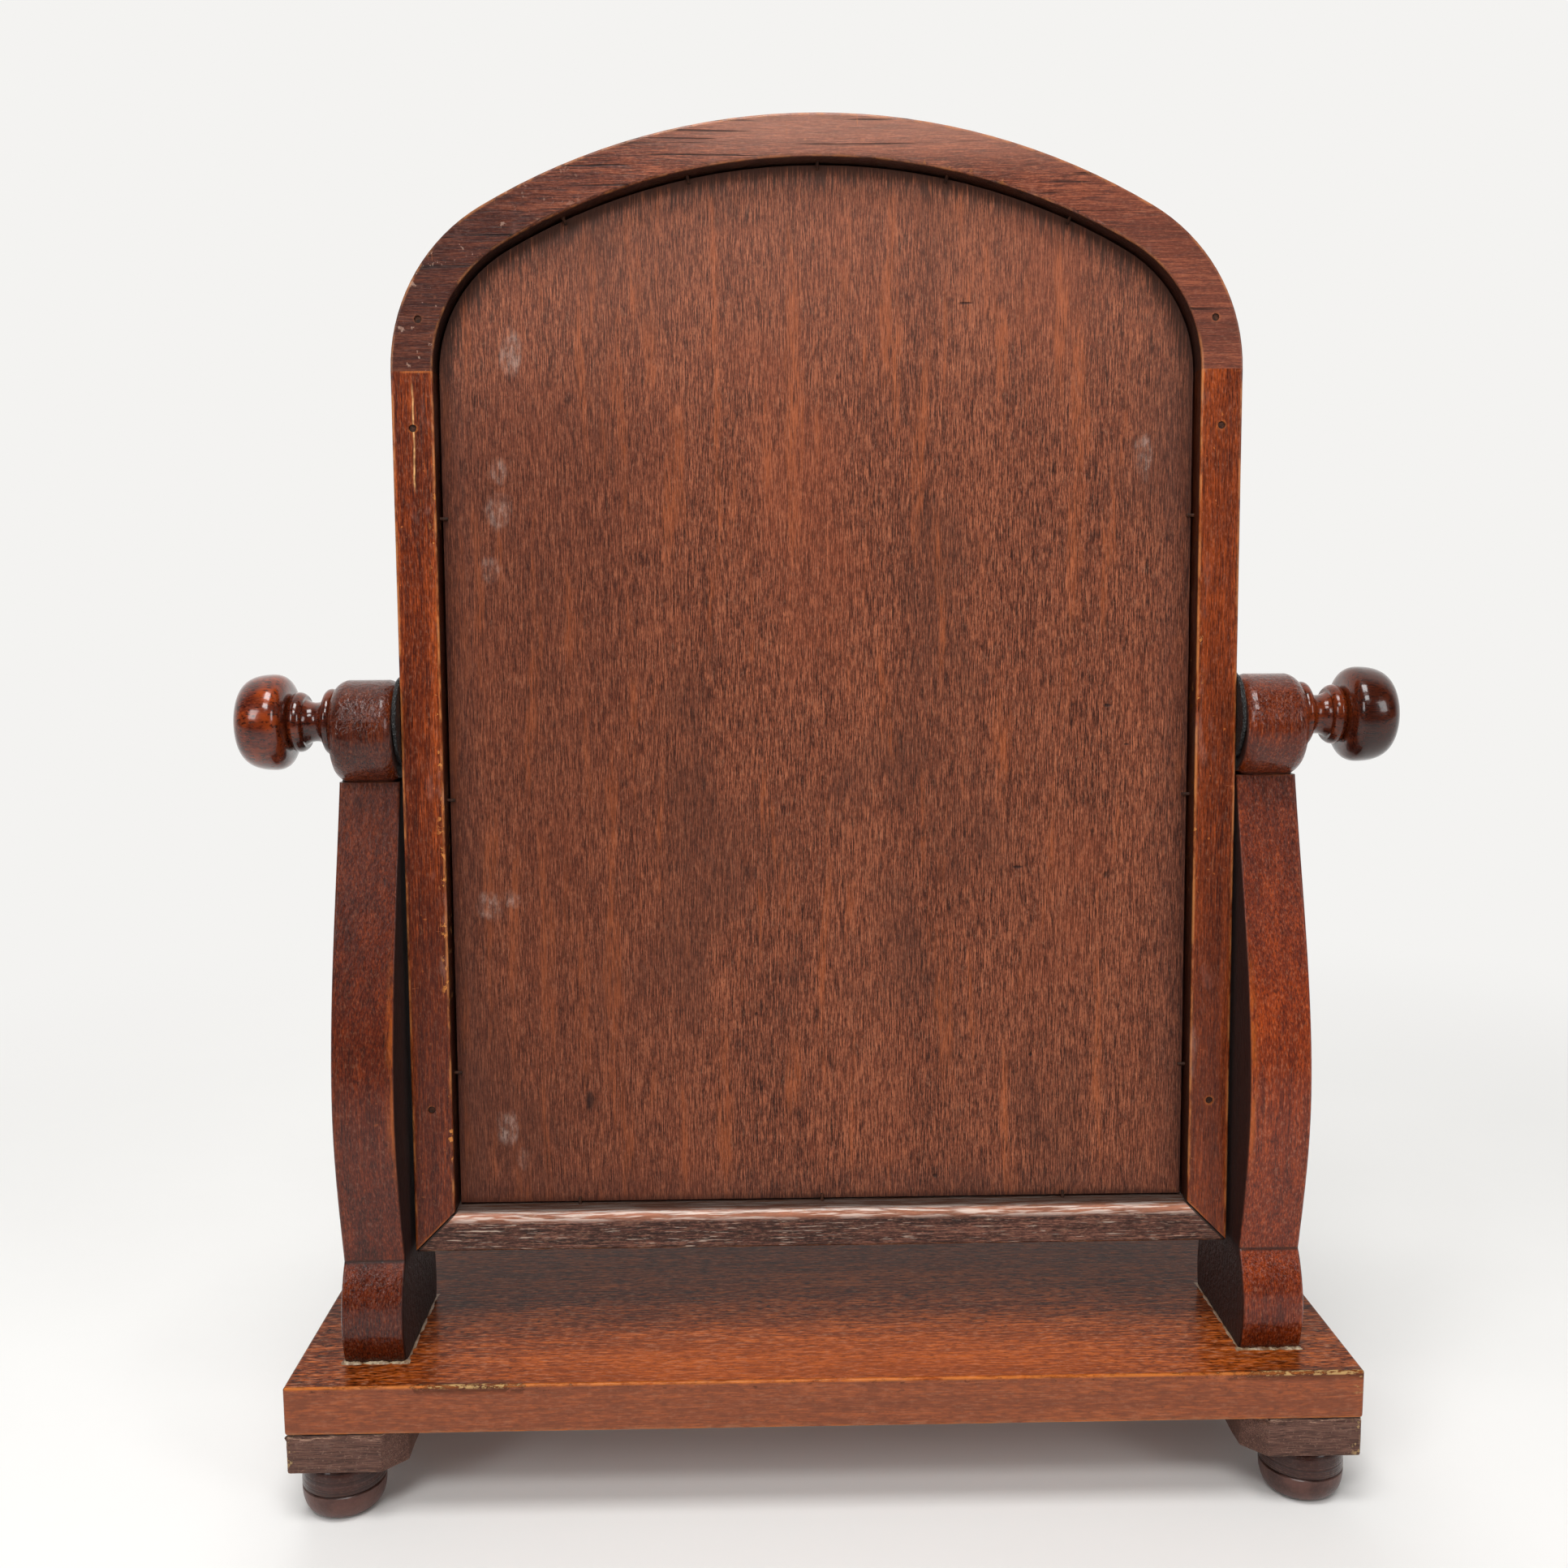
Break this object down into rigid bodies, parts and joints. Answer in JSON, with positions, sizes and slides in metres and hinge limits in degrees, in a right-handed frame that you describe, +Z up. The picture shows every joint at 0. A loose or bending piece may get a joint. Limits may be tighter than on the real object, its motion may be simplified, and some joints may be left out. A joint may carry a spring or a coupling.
{
  "type": "dressing table mirror",
  "caption": "Arched swing dressing table mirror in a moulded wooden frame, held by screw knobs between scroll uprights on a platform base with bun feet.",
  "frame": {"origin": "middle of the footprint on the surface that the feet stand on", "axes": "+Z up, -Y the way the glass faces, +X to the right of a user in front of the glass"},
  "size_m": [0.47, 0.15, 0.5547],
  "materials": {
    "polished_mahogany": "french polish",
    "frame_mahogany": "worn polish",
    "board_mahogany": "open grain, satin",
    "turned_mahogany": "gloss polish",
    "block_mahogany": "worn, dull",
    "beech": "bare",
    "mirror_glass": "silvered",
    "paper": "brown paper",
    "brass": "dull",
    "iron": "dark",
    "black_leather": "wrinkled"
  },
  "bodies": {
    "stand": {"base_board": "polished_mahogany", "block_screws": "iron", "upright_screws": "iron", "right_back_block": "block_mahogany", "right_back_foot": "turned_mahogany", "left_back_block": "block_mahogany", "left_back_foot": "turned_mahogany", "right_front_block": "block_mahogany", "right_front_foot": "turned_mahogany", "left_front_block": "block_mahogany", "left_front_foot": "turned_mahogany", "right_upright": "polished_mahogany", "right_spacer": "black_leather", "left_upright": "polished_mahogany", "left_spacer": "black_leather"},
    "mirror": {"arch_rail": "frame_mahogany", "bottom_rail": "frame_mahogany", "joint_dowels": "beech", "corner_keys": "beech", "frame_nails": "iron", "mirror_glass": "mirror_glass", "backing_paper": "paper", "back_board": "board_mahogany", "board_brads": "iron", "plate_screws": "iron", "right_stile": "frame_mahogany", "right_nut_plate": "brass", "left_stile": "frame_mahogany", "left_nut_plate": "brass"},
    "right_washer": {"right_knob_washer": "black_leather"},
    "right_knob": {"right_knob": "turned_mahogany", "right_swing_screw": "iron"},
    "left_washer": {"left_knob_washer": "black_leather"},
    "left_knob": {"left_knob": "turned_mahogany", "left_swing_screw": "iron"}
  },
  "joints": [
    {"name": "mirror_tilt", "type": "hinge", "parent": "stand", "child": "mirror", "pos_m": [0, 0.024, 0.318], "axis": [1, 0, 0], "continuous": true},
    {"name": "right_knob_advance", "type": "slide", "parent": "mirror", "child": "right_washer", "axis": [1, 0, 0], "range_m": [0, 0.0115]},
    {"name": "right_knob_turn", "type": "hinge", "parent": "right_washer", "child": "right_knob", "pos_m": [0, 0.024, 0.318], "axis": [1, 0, 0], "range_deg": [0, 2880]},
    {"name": "left_knob_advance", "type": "slide", "parent": "mirror", "child": "left_washer", "axis": [-1, 0, 0], "range_m": [0, 0.0115]},
    {"name": "left_knob_turn", "type": "hinge", "parent": "left_washer", "child": "left_knob", "pos_m": [0, 0.024, 0.318], "axis": [-1, 0, 0], "range_deg": [0, 2880]}
  ],
  "couplings": [
    {"joint": "right_knob_advance", "follows": "right_knob_turn", "m_per_rad": 0.00022459},
    {"joint": "left_knob_advance", "follows": "left_knob_turn", "m_per_rad": 0.00022459}
  ]
}
